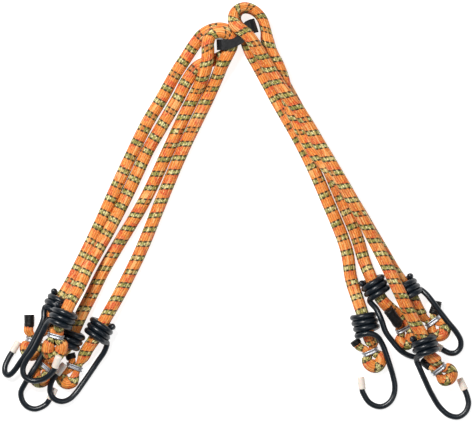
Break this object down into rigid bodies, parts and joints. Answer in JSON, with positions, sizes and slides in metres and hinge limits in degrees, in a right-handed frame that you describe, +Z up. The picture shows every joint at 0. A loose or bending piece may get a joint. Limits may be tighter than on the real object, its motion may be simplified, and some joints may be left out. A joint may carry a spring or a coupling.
{
  "type": "spider bungee strap",
  "caption": "Braided elastic cords gathered in a rubber ring, each arm ending in a coiled wire hook, a crimped clip and a sleeved tail, for holding a load down.",
  "frame": {"origin": "centre of the base of the box round the hooks, their caps and the rubber ring, on the surface that the strap lies on", "axes": "+X to the picture's right, +Y towards the gathered end (the picture's top), +Z up off the surface"},
  "size_m": [0.2934, 0.2609, 0.0337],
  "materials": {
    "cord_cover": "braided textile, orange with olive blocks edged in black",
    "clip_metal": "plain bright steel",
    "end_sleeve": "matte black",
    "hook_wire": "smooth blue-black coat on steel wire",
    "tip_cap": "pale satin plastic",
    "link_rubber": "matte black"
  },
  "bodies": {
    "root": {"cord_a": "cord_cover", "cord_b": "cord_cover", "cord_c": "cord_cover", "cord_d": "cord_cover", "clip_1": "clip_metal", "clip_2": "clip_metal", "clip_3": "clip_metal", "clip_4": "clip_metal", "clip_5": "clip_metal", "clip_6": "clip_metal", "clip_7": "clip_metal", "clip_8": "clip_metal", "end_tape_1": "end_sleeve", "end_tape_2": "end_sleeve", "end_tape_3": "end_sleeve", "end_tape_4": "end_sleeve", "end_tape_5": "end_sleeve", "end_tape_6": "end_sleeve", "end_tape_7": "end_sleeve", "end_tape_8": "end_sleeve", "hook_1": "hook_wire", "hook_2": "hook_wire", "hook_3": "hook_wire", "hook_4": "hook_wire", "hook_5": "hook_wire", "hook_6": "hook_wire", "hook_7": "hook_wire", "hook_8": "hook_wire", "tip_cap_1": "tip_cap", "tip_cap_2": "tip_cap", "tip_cap_3": "tip_cap", "tip_cap_4": "tip_cap", "tip_cap_5": "tip_cap", "tip_cap_6": "tip_cap", "tip_cap_7": "tip_cap", "tip_cap_8": "tip_cap", "link": "link_rubber"}
  },
  "joints": []
}
